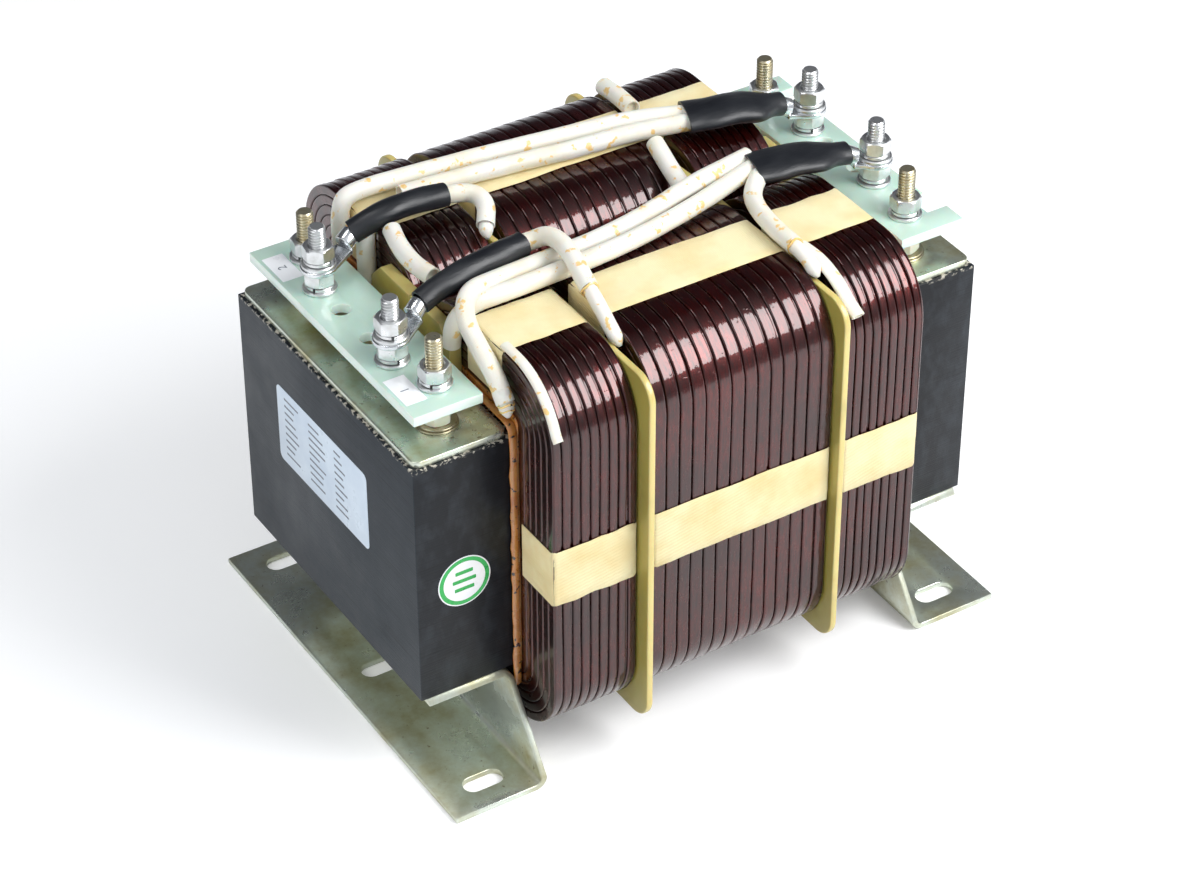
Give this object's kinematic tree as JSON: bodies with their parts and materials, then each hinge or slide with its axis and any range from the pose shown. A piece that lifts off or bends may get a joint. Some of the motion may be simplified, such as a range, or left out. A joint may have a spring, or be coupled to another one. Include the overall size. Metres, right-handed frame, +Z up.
{
  "type": "power transformer",
  "caption": "Open dry type power transformer: laminated core on its side, sectioned copper windings, terminal boards on top and slotted steel feet.",
  "frame": {"origin": "middle of the footprint at the underside of the feet, which is the centre of the outer slot pattern", "axes": "+X along the core legs from the left terminal board to the right one, +Y from the front winding to the back one, +Z up"},
  "size_m": [0.303, 0.239, 0.2366],
  "materials": {
    "core_paint": "black brushed paint over stacked sheet steel",
    "core_steel": "stacked sheet steel under the winding",
    "leg_insulation": "orange brown varnished wrap",
    "enamelled_wire": "dark red brown enamelled flat copper, varnished",
    "epoxy_sheet": "yellow olive glass laminate",
    "cotton_tape": "cream woven cotton tape with varnish",
    "zinc_plate": "zinc plated sheet with yellow green stains",
    "yellow_zinc": "yellow passivated zinc",
    "bright_hardware": "bright stainless hardware",
    "nylon": "pale standoff plastic",
    "board_laminate": "pale green glass laminate",
    "tinned_copper": "tinned copper",
    "black_shrink": "black shrunk tube",
    "woven_sleeve": "white woven glass sleeve with amber varnish spots"
  },
  "bodies": {
    "root": {"board_standoffs": "nylon", "bracket_left": "zinc_plate", "bracket_right": "zinc_plate", "clamp_nuts": "bright_hardware", "clamp_plate_left": "zinc_plate", "clamp_plate_right": "zinc_plate", "clamp_spring_washers": "bright_hardware", "clamp_studs": "yellow_zinc", "clamp_washers": "bright_hardware", "lead_back_inner": "woven_sleeve", "lead_back_outer": "woven_sleeve", "lead_back_stub": "woven_sleeve", "lead_front_lower": "woven_sleeve", "lead_front_upper": "woven_sleeve", "lead_left_back": "woven_sleeve", "lead_left_cross": "woven_sleeve", "lead_left_drop": "woven_sleeve", "lead_left_front": "woven_sleeve", "lead_right_cross": "woven_sleeve", "lead_right_front": "woven_sleeve", "leg_back": "core_steel", "leg_front": "core_steel", "leg_wrap_back": "leg_insulation", "leg_wrap_front": "leg_insulation", "ring_lugs": "tinned_copper", "shrink_left_back": "black_shrink", "shrink_left_front": "black_shrink", "shrink_right_back": "black_shrink", "shrink_right_front": "black_shrink", "spacer_plates_back": "epoxy_sheet", "spacer_plates_front": "epoxy_sheet", "standoff_washers": "yellow_zinc", "tape_bands_back": "cotton_tape", "tape_bands_front": "cotton_tape", "terminal_board_left": "board_laminate", "terminal_board_right": "board_laminate", "terminal_bolts": "bright_hardware", "terminal_nuts": "bright_hardware", "terminal_spring_washers": "bright_hardware", "terminal_washers": "bright_hardware", "winding_back_left": "enamelled_wire", "winding_back_middle": "enamelled_wire", "winding_back_right": "enamelled_wire", "winding_front_left": "enamelled_wire", "winding_front_middle": "enamelled_wire", "winding_front_right": "enamelled_wire", "window_packing_back": "epoxy_sheet", "window_packing_front": "epoxy_sheet", "yoke_left": "core_paint", "yoke_right": "core_paint"}
  },
  "joints": []
}
